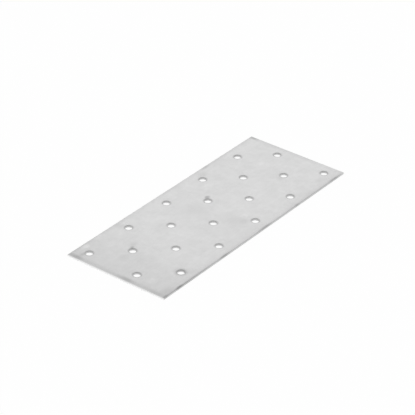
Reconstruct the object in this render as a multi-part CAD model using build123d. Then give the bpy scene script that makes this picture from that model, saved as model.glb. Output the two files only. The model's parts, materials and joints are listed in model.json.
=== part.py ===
from build123d import *

import os

# A mending plate: one flat piece of galvanised sheet steel, sheared to size and punched all over
# with round holes for nails or screws. It lies across a butt joint between two timbers and ties
# them together, so half of its holes belong to each timber.
#
# Millimetres. X runs along the plate, Y across it and Z out of its punched face. The origin is the
# middle of the underside, which is the face that lies on the timber.

# The blank
LENGTH = 200.0
WIDTH = 80.0
THICKNESS = 1.5

# The holes sit on every second crossing of a square grid, so each row is staggered by one grid
# step against the rows beside it. The grid is centred on the plate.
HOLE_DIAMETER = 5.0
GRID_STEP = 20.0
EDGE_MARGIN = 10.0  # least distance from a hole's centre to a cut edge

# A cut through sheet has three bands. The tool first draws the top rim down in a shallow roll,
# then shears a straight land, and the last of the metal breaks away and leaves a sloping face.
# The press draws the ends down far more than the rolling mill's slitter draws the long sides.
HOLE_ROLL_WIDTH = 0.6
HOLE_ROLL_DEPTH = 0.25
SIDE_ROLL_WIDTH = 0.4
SIDE_ROLL_DEPTH = 0.2
END_ROLL_WIDTH = 3.0
END_ROLL_DEPTH = 0.3
BREAK_HEIGHT = 0.5  # from the underside up to the land
BREAK_SETBACK = 0.1  # how far the broken face falls back from the land, at the underside

OVERSHOOT = 1.0  # how far a cutting shape runs past the faces that it opens


def hole_centres():
    """Centres of the holes: every second crossing of the grid, row by row from the corner."""
    columns = int((LENGTH - 2 * EDGE_MARGIN) / GRID_STEP) + 1
    rows = int((WIDTH - 2 * EDGE_MARGIN) / GRID_STEP) + 1
    first_x = -(columns - 1) * GRID_STEP / 2
    first_y = -(rows - 1) * GRID_STEP / 2
    return [
        (first_x + column * GRID_STEP, first_y + row * GRID_STEP)
        for row in range(rows)
        for column in range(columns)
        if (column + row) % 2 == 1
    ]


def sheet_section(span, roll_width, roll_depth):
    """The sheet seen on edge between two opposite cuts, span apart, with the bands of each cut."""
    cut = span / 2
    roll_start = (cut - roll_width, THICKNESS)
    land_top = (cut, THICKNESS - roll_depth)
    with BuildSketch() as section:
        with BuildLine():
            Line((0, THICKNESS), roll_start)
            TangentArc(roll_start, land_top, tangent=(1, 0))
            Polyline(land_top, (cut, BREAK_HEIGHT), (cut - BREAK_SETBACK, 0), (0, 0))
            mirror(about=Plane.YZ)
        make_face()
    return section.sketch


def sheared_blank():
    """The plain strip: what its lengthwise section and its crosswise section have in common."""
    with BuildPart() as blank:
        with BuildSketch(Plane.XZ):
            add(sheet_section(LENGTH, END_ROLL_WIDTH, END_ROLL_DEPTH))
        extrude(amount=WIDTH / 2 + OVERSHOOT, both=True)
        with BuildSketch(Plane.YZ):
            add(sheet_section(WIDTH, SIDE_ROLL_WIDTH, SIDE_ROLL_DEPTH))
        extrude(amount=LENGTH / 2 + OVERSHOOT, both=True, mode=Mode.INTERSECT)
    return blank.part


def punched_hole():
    """The metal that one stroke of the punch takes away, turned about its own axis."""
    radius = HOLE_DIAMETER / 2
    roll_start = (radius + HOLE_ROLL_WIDTH, THICKNESS)
    land_top = (radius, THICKNESS - HOLE_ROLL_DEPTH)
    with BuildPart() as cutter:
        with BuildSketch(Plane.XZ):
            with BuildLine():
                TangentArc(roll_start, land_top, tangent=(-1, 0))
                Polyline(
                    land_top,
                    (radius, BREAK_HEIGHT),
                    (radius + BREAK_SETBACK, 0),
                    (radius + BREAK_SETBACK, -OVERSHOOT),
                    (0, -OVERSHOOT),
                    (0, THICKNESS + OVERSHOOT),
                    (radius + HOLE_ROLL_WIDTH, THICKNESS + OVERSHOOT),
                    roll_start,
                )
            make_face()
        revolve(axis=Axis.Z)
    return cutter.part


def mending_plate():
    """The finished plate: the blank with its whole pattern of holes."""
    with BuildPart() as plate:
        add(sheared_blank())
        with Locations(*hole_centres()):
            add(punched_hole(), mode=Mode.SUBTRACT)
    return plate.part


os.makedirs("parts", exist_ok=True)

plate = mending_plate()
plate.label = "plate"
export_step(plate, "parts/plate.step")
print(f"plate: {len(hole_centres())} holes, {plate.volume:.1f} mm3")
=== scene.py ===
import json
import math

import bpy
from mathutils import Matrix
from mathutils import Vector


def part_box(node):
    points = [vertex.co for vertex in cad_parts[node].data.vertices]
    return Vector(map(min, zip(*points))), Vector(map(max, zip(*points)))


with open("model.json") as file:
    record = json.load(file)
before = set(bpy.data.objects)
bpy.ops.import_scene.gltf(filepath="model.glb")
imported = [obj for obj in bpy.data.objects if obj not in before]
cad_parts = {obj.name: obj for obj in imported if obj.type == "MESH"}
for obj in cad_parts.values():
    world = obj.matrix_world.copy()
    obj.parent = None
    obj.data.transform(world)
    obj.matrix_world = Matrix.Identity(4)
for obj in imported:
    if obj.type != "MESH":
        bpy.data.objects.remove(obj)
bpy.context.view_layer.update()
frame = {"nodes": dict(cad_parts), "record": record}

# A mending plate of galvanised sheet steel, lying flat on a pale floor. Metres, in the frame of
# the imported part: X along the plate, Y across it, Z out of its punched face.

MM = 0.001

PLATE_LOW, PLATE_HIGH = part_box("plate")
THICKNESS = PLATE_HIGH.z - PLATE_LOW.z

# The nail holes, row by row. Two neighbours in one row are two grid steps apart, and the nearest
# neighbours of all are one step along and one across.
NAIL_HOLES = [mount for mount in frame["record"]["mounts"] if mount["kind"] == "bore"]
HOLE_RADIUS = NAIL_HOLES[0]["dims"]["r_mm"] * MM
FIRST_HOLE = Vector(NAIL_HOLES[0]["pos_m"])
HOLE_SPACING = (Vector(NAIL_HOLES[1]["pos_m"]) - FIRST_HOLE).length / math.sqrt(2)

# The bands of a cut: the torn break, the smooth land above it and the drawn rim at the top
BREAK_HEIGHT = 0.5 * MM
RIM_DEPTH = 0.22 * MM
RIM_WIDTH = 0.6 * MM
END_RIM_WIDTH = 3.0 * MM
BAND_BLUR = 0.04 * MM  # how far one band fades into the next

# Zinc, and how much lighter and darker its patterns make it, as shares of its brightness. Each
# octave of a pattern is twice as fine as the one before.
ZINC = "#E3E3E3"
# painted shade on the rolled rims, standing in for their darker reflection
ZINC_RIM_SHADE = "#A6A6A6"
# dirt in the rubs, darker margins, and painted shade towards and just inside the left end
ZINC_GRIME_AND_SHADE = "#868686"
ZINC_BRIGHT = "#FAFAFA"
CLOUD_SIZE = 14 * MM
CLOUD_OCTAVES = 3.0
CLOUD_OCTAVE_SHARE = 0.55  # the strength of each octave beside the one before
CLOUD_SWING = 0.03
MOTTLE_SIZE = 3 * MM
MOTTLE_OCTAVES = 3.0
MOTTLE_SWING = 0.022
SPANGLE_SIZE = 6 * MM
SPANGLE_SOFTNESS = 0.5
SPANGLE_SWING = 0.02
GRAIN_LENGTH = 12 * MM
GRAIN_PITCH = 0.6 * MM  # real rolling lines are ten times finer, and wouldn't show
GRAIN_OCTAVES = 5.0
GRAIN_SWING = 0.015
ZINC_ROUGHNESS = (0.37, 0.47)

# Cut metal. The ends' colours are painted light, standing in for light from the left.
LIT_END_LAND = "#ECECEC"
LIT_END_BREAK = "#FAFAFA"
SIDE_LAND = "#CECECE"
SIDE_BREAK = "#C4C4C4"
HOLE_LAND = "#C2C2C2"
HOLE_BREAK = "#D4D4D4"
STRIATION_LENGTH = 6 * MM
STRIATION_PITCH = 0.4 * MM  # real tool marks are several times finer, and wouldn't show
STRIATION_OCTAVES = 2.0
STRIATION_SWING = 0.06
TEAR_SIZE = 0.35 * MM
TEAR_OCTAVES = 3.0
TEAR_SWING = 0.1
LAND_ROUGHNESS = 0.32
BREAK_ROUGHNESS = 0.6
HOLE_CUT_FADE = (1.3 * HOLE_RADIUS, 1.4 * HOLE_RADIUS)  # a hole's cut metal is nearer its axis
END_CUT_DEPTH = 0.2 * MM  # an end's cut metal is nearer the end than this

# Relief, as the height of a pattern from its lowest to its highest
GRAIN_RELIEF = 0.01 * MM
TEAR_RELIEF = 0.04 * MM

# Painted shade on the drawn rims, standing in for their darker reflection. Round a hole it fades
# out over the face, and it stops short of the ends, whose wide rims keep the face's tone.
HALO_START = HOLE_RADIUS + 0.7 * RIM_WIDTH
HALO_END = HOLE_RADIUS + 2.5 * RIM_WIDTH
HALO_SHARE = 0.4
END_RIM_FADE = 1 * MM

# Noise is nearly all between these two values, and averages a half
NOISE_LOW = 0.3
NOISE_HIGH = 0.7

# Darker zinc along the margins: how far in from its edge it reaches, and how much of it lies at
# the edge where the patches are thickest. Towards the left end it is painted shade.
LEFT_PAINTED_SHADE = (55 * MM, 0.24)
RIGHT_DARKENING = (5 * MM, 0.32)
FRONT_DARKENING = (10 * MM, 0.14)
FRONT_EDGE_DARKENING = (2.4 * MM, 0.3)
BACK_DARKENING = (4 * MM, 0.25)
PATCH_SIZE = 2 * CLOUD_SIZE
PATCH_OCTAVES = 2.0
# a band of painted shade just inside the left end: its middle, its reach and its strength
END_BAND_MIDDLE = 1.8 * MM
END_BAND_REACH = 6.0 * MM
END_BAND_SHADE = 0.14

# Spots of dirt and wear, and a few of painted shade. Each is a centre and a reach in millimetres
# along and across the plate, and how strong it is. Rubs are grimed, and burnished spots are
# rubbed bright.
SPOT_SOAK = 1.4 * MM  # how far down an edge a spot on the face reaches
SPOT_CORE = 0.1  # the share of its reach over which a spot is at its strongest
SPOT_RAGS = 3 * MM
SPOT_OCTAVES = 6.0
RUBS_AND_SHADE = (
    ((13.4, 13.1), (3.1, 2.4), 0.62),
    ((-67.4, 12.7), (2.8, 2), 0.42),
    ((-63.8, 14.8), (5, 3.5), 0.16),
    ((-80, 10), (5, 4), 0.09),
    ((-52, 36), (5, 5), 0.11),
    ((44, 39), (6, 2.5), 0.25),
    ((35, 34), (6, 4), 0.12),
    # these three lie on the band just inside the left end: painted shade that makes it uneven
    ((-98.3, 34), (2.8, 8), 0.33),
    ((-98.3, -8), (2.8, 9), 0.27),
    ((-98.3, -31), (2.8, 7), 0.1),
    ((-94, 32.5), (3.5, 2.5), 0.3),
    ((-93, -37), (8, 5), 0.12),
    ((-97.5, -40), (3.5, 2), 0.5),
    ((98.6, 37), (2.8, 6), 0.34),
    ((-74, -40), (34, 1.8), 0.26),
    ((-84, -40), (5, 1.8), 0.7),
    ((-36.5, -40), (7.5, 1.5), 0.5),
    ((7, -40), (10, 2), 0.4),
    ((44, -40), (4, 1.8), 0.3),
    ((88, -40), (8.5, 2.2), 0.4),
    ((2, -20), (9, 20), 0.08),
    ((4, -25), (5, 4), 0.12),
    ((-6, 10), (16, 13), 0.07),
    ((-70, -30), (6, 6), 0.5),
    ((66, -11), (6, 4), 0.1),
    ((80, -33), (6, 4), 0.1),
)
BURNISHED = (
    ((-86, 37), (6, 3), 0.4),
    ((-71, 38), (6, 3), 0.3),
    ((-89, -22), (5, 5), 0.22),
    ((12, -21), (6, 4), 0.25),
    ((24, 21), (7, 5), 0.2),
    ((72, 12), (5, 3), 0.2),
    ((28, -22), (5, 4), 0.15),
)

# The studio. The floor is partly plain white and partly paper, which takes the plate's shadow.
FLOOR_SIZE = 12.0
FLOOR_GAP = 0.02 * MM  # keeps the floor clear of the underside
FLOOR_GLOW = 0.96
WALL_LIGHT = 1.0
CEILING_LIGHT = 0.65
DIMMING_START = math.radians(33)
DIMMING_END = math.radians(60)

# Camera: a long lens that looks down along the plate from its left end
CAMERA_AZIMUTH = math.radians(-52.87)
CAMERA_ELEVATION = math.radians(31.70)
CAMERA_ROLL = math.radians(1.07)
CAMERA_DISTANCE = 1338 * MM
CAMERA_SHIFT_RIGHT = -2.06 * MM
CAMERA_SHIFT_UP = 4.13 * MM
SENSOR = 36.0
LENS = 172.7

SMOOTH = {"interpolation_type": "SMOOTHSTEP"}


def linear(colour):
    """An sRGB hex colour as the linear values that a shader socket takes."""
    channels = [int(colour[i : i + 2], 16) / 255 for i in (1, 3, 5)]
    return (*[c / 12.92 if c <= 0.04045 else ((c + 0.055) / 1.055) ** 2.4 for c in channels], 1.0)


def node(tree, kind, inputs=(), output=None, **settings):
    """Adds a node, sets it, fills its inputs by order or by name, and returns one of its outputs.
    An input that is a socket is linked, a hex colour is turned linear, and a number is set."""
    made = tree.nodes.new("ShaderNode" + kind)
    for name, value in settings.items():
        setattr(made, name, value)
    sockets = [socket for socket in made.inputs if socket.enabled]
    if isinstance(inputs, dict):
        named = {socket.name: socket for socket in sockets}
        sockets = [named[name] for name in inputs]
        inputs = inputs.values()
    for socket, value in zip(sockets, inputs):
        if isinstance(value, bpy.types.NodeSocket):
            tree.links.new(value, socket)
        else:
            socket.default_value = linear(value) if isinstance(value, str) else value
    results = [socket for socket in made.outputs if socket.enabled and output in (None, socket.name)]
    return results[0] if results else None


def empty_tree(owner):
    """The owner's node tree, switched on and emptied."""
    owner.use_nodes = True
    owner.node_tree.nodes.clear()
    return owner.node_tree


def add_camera():
    """Places the camera by its azimuth, elevation, roll and distance from the plate's middle."""
    azimuth, elevation, roll = CAMERA_AZIMUTH, CAMERA_ELEVATION, CAMERA_ROLL
    back = Vector(
        (
            math.sin(azimuth) * math.cos(elevation),
            -math.cos(azimuth) * math.cos(elevation),
            math.sin(elevation),
        )
    )
    level = Vector((math.cos(azimuth), math.sin(azimuth), 0))
    upright = back.cross(level)
    right = level * math.cos(roll) + upright * math.sin(roll)
    up = upright * math.cos(roll) - level * math.sin(roll)
    data = bpy.data.cameras.new("camera")
    data.sensor_width = SENSOR
    data.lens = LENS
    camera = bpy.data.objects.new("camera", data)
    bpy.context.scene.collection.objects.link(camera)
    turn = Matrix((right, up, back)).transposed().to_4x4()
    place = back * CAMERA_DISTANCE + right * CAMERA_SHIFT_RIGHT + up * CAMERA_SHIFT_UP
    camera.matrix_world = Matrix.Translation(place) @ turn
    bpy.context.scene.camera = camera


def studio_floor():
    """A pale studio floor: white where it is open, and faintly shaded close to the plate."""
    bpy.ops.object.select_all(action="DESELECT")
    bpy.ops.mesh.primitive_plane_add(size=FLOOR_SIZE, location=(0, 0, PLATE_LOW.z - FLOOR_GAP))
    floor = bpy.context.object
    floor.name = "floor"
    material = bpy.data.materials.new("white studio floor")
    tree = empty_tree(material)
    paper = node(tree, "BsdfDiffuse", {"Color": "#FFFFFF"})
    white = node(tree, "Emission", {"Color": "#FFFFFF", "Strength": 1.0})
    seen = node(tree, "LightPath", output="Is Camera Ray")
    for ray in ("Is Glossy Ray", "Is Transmission Ray"):
        also = node(tree, "LightPath", output=ray)
        seen = node(tree, "Math", [seen, also], operation="MAXIMUM")
    share = node(tree, "Math", [seen, FLOOR_GLOW], operation="MULTIPLY")
    surface = node(tree, "MixShader", [share, paper, white])
    node(tree, "OutputMaterial", {"Surface": surface})
    floor.data.materials.append(material)


def studio_world():
    """Soft light from all round: full near the horizon, and dimmer overhead."""
    world = bpy.data.worlds.new("studio")
    bpy.context.scene.world = world
    tree = empty_tree(world)
    direction = node(tree, "TexCoord", output="Generated")
    height = node(tree, "SeparateXYZ", [direction], output="Z")
    heights = {
        "Value": height,
        "From Min": math.sin(DIMMING_START),
        "From Max": math.sin(DIMMING_END),
        "To Min": WALL_LIGHT,
        "To Max": CEILING_LIGHT,
    }
    strength = node(tree, "MapRange", heights, **SMOOTH)
    light = node(tree, "Background", {"Color": "#FFFFFF", "Strength": strength})
    white = node(tree, "Background", {"Color": "#FFFFFF", "Strength": 1.0})
    camera_ray = node(tree, "LightPath", output="Is Camera Ray")
    surface = node(tree, "MixShader", [camera_ray, light, white])
    node(tree, "OutputWorld", {"Surface": surface})


def from_hole(tree, place):
    """How far a point is from the axis of the nearest nail hole. Turned by an eighth, the holes
    are a square grid, and each cell of that grid is folded onto the hole in its middle."""
    eighth = math.radians(45)
    shift = Matrix.Rotation(eighth, 3, "Z") @ FIRST_HOLE / HOLE_SPACING
    turned = {
        "Vector": place,
        "Location": (-shift.x, -shift.y, 0),
        "Rotation": (0, 0, eighth),
        "Scale": (1 / HOLE_SPACING, 1 / HOLE_SPACING, 0),
    }
    grid = node(tree, "Mapping", turned)
    half = Vector((0.5, 0.5, 0.5))
    cell = node(tree, "VectorMath", [grid, half, -half], operation="WRAP")
    cells = node(tree, "VectorMath", [cell], output="Value", operation="LENGTH")
    return node(tree, "Math", [cells, HOLE_SPACING], operation="MULTIPLY")


def from_edge(tree, along, edge):
    """How far a point is in from an edge of the plate, which is a value of X or of Y."""
    inwards = -1 if edge > 0 else 1
    return node(tree, "Math", [along, inwards, -edge * inwards], operation="MULTIPLY_ADD")


def uneven(tree, colour, pattern, swing):
    """The colour made darker and lighter, by up to the swing, where a pattern is low and high."""
    tones = {
        "Value": pattern,
        "From Min": NOISE_LOW,
        "From Max": NOISE_HIGH,
        "To Min": 1 - swing,
        "To Max": 1 + swing,
    }
    tone = node(tree, "MapRange", tones)
    tinted = {"data_type": "RGBA", "blend_type": "MULTIPLY"}
    return node(tree, "Mix", [1.0, colour, tone], **tinted)


def rolling_lines(tree, place):
    """Faint lines along the plate, left from rolling the sheet."""
    pitch = 1 / GRAIN_PITCH
    stretched = node(tree, "Mapping", {"Vector": place, "Scale": (1 / GRAIN_LENGTH, pitch, pitch)})
    return node(tree, "TexNoise", {"Vector": stretched, "Scale": 1.0, "Detail": GRAIN_OCTAVES})


def spangle(tree, place):
    """Crystals of zinc, each a little lighter or darker than the next."""
    cells = {"Vector": place, "Scale": 1 / SPANGLE_SIZE, "Smoothness": SPANGLE_SOFTNESS}
    crystal = node(tree, "TexVoronoi", cells, output="Color", feature="SMOOTH_F1")
    return node(tree, "SeparateColor", [crystal])


def striations(tree, place):
    """Marks down the land, where the press tool slid past the sheet."""
    pitch = 1 / STRIATION_PITCH
    scale = (pitch, pitch, 1 / STRIATION_LENGTH)
    stretched = node(tree, "Mapping", {"Vector": place, "Scale": scale})
    return node(tree, "TexNoise", {"Vector": stretched, "Scale": 1.0, "Detail": STRIATION_OCTAVES})


def tears(tree, place):
    """The grain of the break, where the sheet tore."""
    return node(tree, "TexNoise", {"Vector": place, "Scale": 1 / TEAR_SIZE, "Detail": TEAR_OCTAVES})


def frozen_zinc(tree, place, crystals, lines):
    """Zinc as it froze on the sheet: softly clouded and finely mottled, with faint crystals and
    rolling lines."""
    clouds = {
        "Vector": place,
        "Scale": 1 / CLOUD_SIZE,
        "Detail": CLOUD_OCTAVES,
        "Roughness": CLOUD_OCTAVE_SHARE,
    }
    mottle = {"Vector": place, "Scale": 1 / MOTTLE_SIZE, "Detail": MOTTLE_OCTAVES}
    colour = uneven(tree, ZINC, node(tree, "TexNoise", clouds), CLOUD_SWING)
    colour = uneven(tree, colour, crystals, SPANGLE_SWING)
    colour = uneven(tree, colour, node(tree, "TexNoise", mottle), MOTTLE_SWING)
    return uneven(tree, colour, lines, GRAIN_SWING)


def darker_towards_edges(tree, x, y, patchy, colour):
    """Greyer zinc along the margins, and towards the left end, where it is painted shade."""
    from_left = from_edge(tree, x, PLATE_LOW.x)
    from_right = from_edge(tree, x, PLATE_HIGH.x)
    from_front = from_edge(tree, y, PLATE_LOW.y)
    from_back = from_edge(tree, y, PLATE_HIGH.y)
    zones = (
        # towards the left end this darkening is painted shade
        (from_left, *LEFT_PAINTED_SHADE),
        (from_right, *RIGHT_DARKENING),
        (from_front, *FRONT_DARKENING),
        (from_front, *FRONT_EDGE_DARKENING),
        (from_back, *BACK_DARKENING),
    )
    for distance, reach, most in zones:
        fade = {"Value": distance, "From Min": 0, "From Max": reach, "To Min": most, "To Max": 0}
        share = node(tree, "MapRange", fade, **SMOOTH)
        share = node(tree, "Math", [share, patchy], operation="MULTIPLY")
        colour = node(tree, "Mix", [share, colour, ZINC_GRIME_AND_SHADE], data_type="RGBA")
    return colour


def end_shade_band(tree, x, patchy, colour):
    """A grey band of painted shade just inside the left end."""
    distance = from_edge(tree, x, PLATE_LOW.x)
    rise = {
        "Value": distance,
        "From Min": 0,
        "From Max": END_BAND_MIDDLE,
        "To Max": END_BAND_SHADE,
    }
    rising = node(tree, "MapRange", rise, **SMOOTH)
    fall = {"Value": distance, "From Min": END_BAND_REACH, "From Max": END_BAND_MIDDLE}
    falling = node(tree, "MapRange", fall, interpolation_type="SMOOTHERSTEP")
    band = node(tree, "Math", [rising, falling], operation="MULTIPLY")
    share = node(tree, "Math", [band, patchy], operation="MULTIPLY")
    return node(tree, "Mix", [share, colour, ZINC_GRIME_AND_SHADE], data_type="RGBA")


def painted_rim_shade(tree, x, z, hole, colour):
    """Painted shade where the press drew a rim down and round the holes: darker than the face,
    standing in for the rim's darker reflection.
    """
    face = THICKNESS - BAND_BLUR / 2
    low = {"Value": z, "From Min": face, "From Max": face - RIM_DEPTH / 2}
    depth = node(tree, "MapRange", low, **SMOOTH)
    near = {"Value": hole, "From Min": HALO_END, "From Max": HALO_START, "To Max": HALO_SHARE}
    halo = node(tree, "MapRange", near, **SMOOTH)
    share = node(tree, "Math", [depth, halo], operation="MAXIMUM")
    from_middle = node(tree, "Math", [x], operation="ABSOLUTE")
    end_rim = PLATE_HIGH.x - END_RIM_WIDTH
    inside = {"Value": from_middle, "From Min": end_rim, "From Max": end_rim - END_RIM_FADE}
    off_end = node(tree, "MapRange", inside, **SMOOTH)
    share = node(tree, "Math", [share, off_end], operation="MULTIPLY")
    return node(tree, "Mix", [share, colour, ZINC_RIM_SHADE], data_type="RGBA")


def zinc_coat(tree, place, crystals, lines):
    """The zinc of both faces: plain underneath, and on the punched face darker at the margins,
    with painted shade on the drawn rims, round the holes and towards and just inside the left end.
    """
    x, y, z = node(tree, "SeparateXYZ", [place]).node.outputs
    patches = {"Vector": place, "Scale": 1 / PATCH_SIZE, "Detail": PATCH_OCTAVES}
    patchy = node(tree, "TexNoise", patches)
    plain = frozen_zinc(tree, place, crystals, lines)
    face = darker_towards_edges(tree, x, y, patchy, plain)
    face = end_shade_band(tree, x, patchy, face)
    face = painted_rim_shade(tree, x, z, from_hole(tree, place), face)
    upper = node(tree, "MapRange", {"Value": z, "From Min": 0, "From Max": BREAK_HEIGHT})
    return node(tree, "Mix", [upper, plain, face], data_type="RGBA")


def cut_metal(tree, place, break_to_land, grain):
    """The cut below the rim: a smooth land, and under it a torn break. The ends are painted
    bright, standing in for light from the left, the sides duller, and the holes bare and grey."""
    start, end = HOLE_CUT_FADE
    away = {"Value": from_hole(tree, place), "From Min": start, "From Max": end}
    off_hole = node(tree, "MapRange", away)
    x = node(tree, "SeparateXYZ", [place], output="X")
    from_middle = node(tree, "Math", [x], operation="ABSOLUTE")
    wall = PLATE_HIGH.x - END_CUT_DEPTH
    # the ends' cut metal is painted light, standing in for light from the left
    near_end = {"Value": from_middle, "From Min": wall - END_CUT_DEPTH, "From Max": wall}
    at_lit_end = node(tree, "MapRange", near_end)
    bands = []
    for on_hole, on_side, on_lit_end, pattern, swing in (
        (HOLE_BREAK, SIDE_BREAK, LIT_END_BREAK, grain, TEAR_SWING),
        (HOLE_LAND, SIDE_LAND, LIT_END_LAND, striations(tree, place), STRIATION_SWING),
    ):
        outer = node(tree, "Mix", [at_lit_end, on_side, on_lit_end], data_type="RGBA")
        band = node(tree, "Mix", [off_hole, on_hole, outer], data_type="RGBA")
        bands.append(uneven(tree, band, pattern, swing))
    return node(tree, "Mix", [break_to_land, *bands], data_type="RGBA")


def between_faces(tree, z):
    """1 on the cut metal and 0 on the zinc of both faces and of the drawn rims."""
    land_top = THICKNESS - RIM_DEPTH
    under = {"Value": z, "From Min": 0, "From Max": BAND_BLUR}
    above_underside = node(tree, "MapRange", under, **SMOOTH)
    over = {"Value": z, "From Min": land_top, "From Max": land_top - BAND_BLUR}
    below_rim = node(tree, "MapRange", over, **SMOOTH)
    return node(tree, "Math", [above_underside, below_rim], operation="MULTIPLY")


def above_break(tree, z):
    """0 on the torn break and 1 on the smooth land above it."""
    step = {
        "Value": z,
        "From Min": BREAK_HEIGHT - BAND_BLUR,
        "From Max": BREAK_HEIGHT + BAND_BLUR,
    }
    return node(tree, "MapRange", step, **SMOOTH)


def spots(tree, place, places, paint, colour):
    """Spots of another tone, each fading outwards from its middle to a ragged edge. The noise
    that makes it ragged averages a half, so a spot's share is doubled."""
    rags = {"Vector": place, "Scale": 1 / SPOT_RAGS, "Detail": SPOT_OCTAVES}
    ragged = node(tree, "TexNoise", rags)
    for (x, y), (reach_x, reach_y), most in places:
        spot = {
            "Vector": place,
            "Location": (-x / reach_x, -y / reach_y, -THICKNESS / SPOT_SOAK),
            "Scale": (1 / (reach_x * MM), 1 / (reach_y * MM), 1 / SPOT_SOAK),
        }
        local = node(tree, "Mapping", spot)
        distance = node(tree, "VectorMath", [local], output="Value", operation="LENGTH")
        fade = {"Value": distance, "From Min": 1, "From Max": SPOT_CORE, "To Max": 2 * most}
        share = node(tree, "MapRange", fade, **SMOOTH)
        share = node(tree, "Math", [share, ragged], operation="MULTIPLY")
        colour = node(tree, "Mix", [share, colour, paint], data_type="RGBA")
    return colour


def galvanised_steel():
    """Galvanised sheet after the press: zinc on both faces and drawn down over the rims, and cut
    metal between them. The zinc looks pale, matt and faintly clouded, a little darker at the
    margins, with painted shade on the drawn rims and towards and just inside the left end. The cut
    metal looks smooth above and torn below, and its ends are painted light, as if lit from the left."""
    material = bpy.data.materials.new("galvanised sheet steel, sheared and punched")
    tree = empty_tree(material)
    place = node(tree, "TexCoord", output="Object")
    z = node(tree, "SeparateXYZ", [place], output="Z")
    cut = between_faces(tree, z)
    break_to_land = above_break(tree, z)
    crystals = spangle(tree, place)
    lines = rolling_lines(tree, place)
    grain = tears(tree, place)

    zinc = zinc_coat(tree, place, crystals, lines)
    bare = cut_metal(tree, place, break_to_land, grain)
    colour = node(tree, "Mix", [cut, zinc, bare], data_type="RGBA")
    # dirt, and painted shade on the band just inside the left end
    colour = spots(tree, place, RUBS_AND_SHADE, ZINC_GRIME_AND_SHADE, colour)
    colour = spots(tree, place, BURNISHED, ZINC_BRIGHT, colour)

    low, high = ZINC_ROUGHNESS
    zinc_matt = node(tree, "MapRange", {"Value": crystals, "To Min": low, "To Max": high})
    cut_matt = node(tree, "Mix", [break_to_land, BREAK_ROUGHNESS, LAND_ROUGHNESS])
    rolled = node(tree, "Math", [lines, GRAIN_RELIEF], operation="MULTIPLY")
    torn = node(tree, "Math", [grain, TEAR_RELIEF], operation="MULTIPLY")
    relief = node(tree, "Mix", [cut, rolled, torn])
    finish = {
        "Base Color": colour,
        "Metallic": 1.0,
        "Roughness": node(tree, "Mix", [cut, zinc_matt, cut_matt]),
        "Normal": node(tree, "Bump", {"Height": relief, "Strength": 1.0, "Distance": 1.0}),
    }
    shader = node(tree, "BsdfPrincipled", finish)
    node(tree, "OutputMaterial", {"Surface": shader})
    return material


def dress_plate():
    """Gives the plate its finish."""
    plate = frame["nodes"]["plate"]
    plate.data.materials.clear()
    plate.data.materials.append(galvanised_steel())


bpy.context.scene.view_settings.view_transform = "Standard"
add_camera()
studio_floor()
studio_world()
dress_plate()
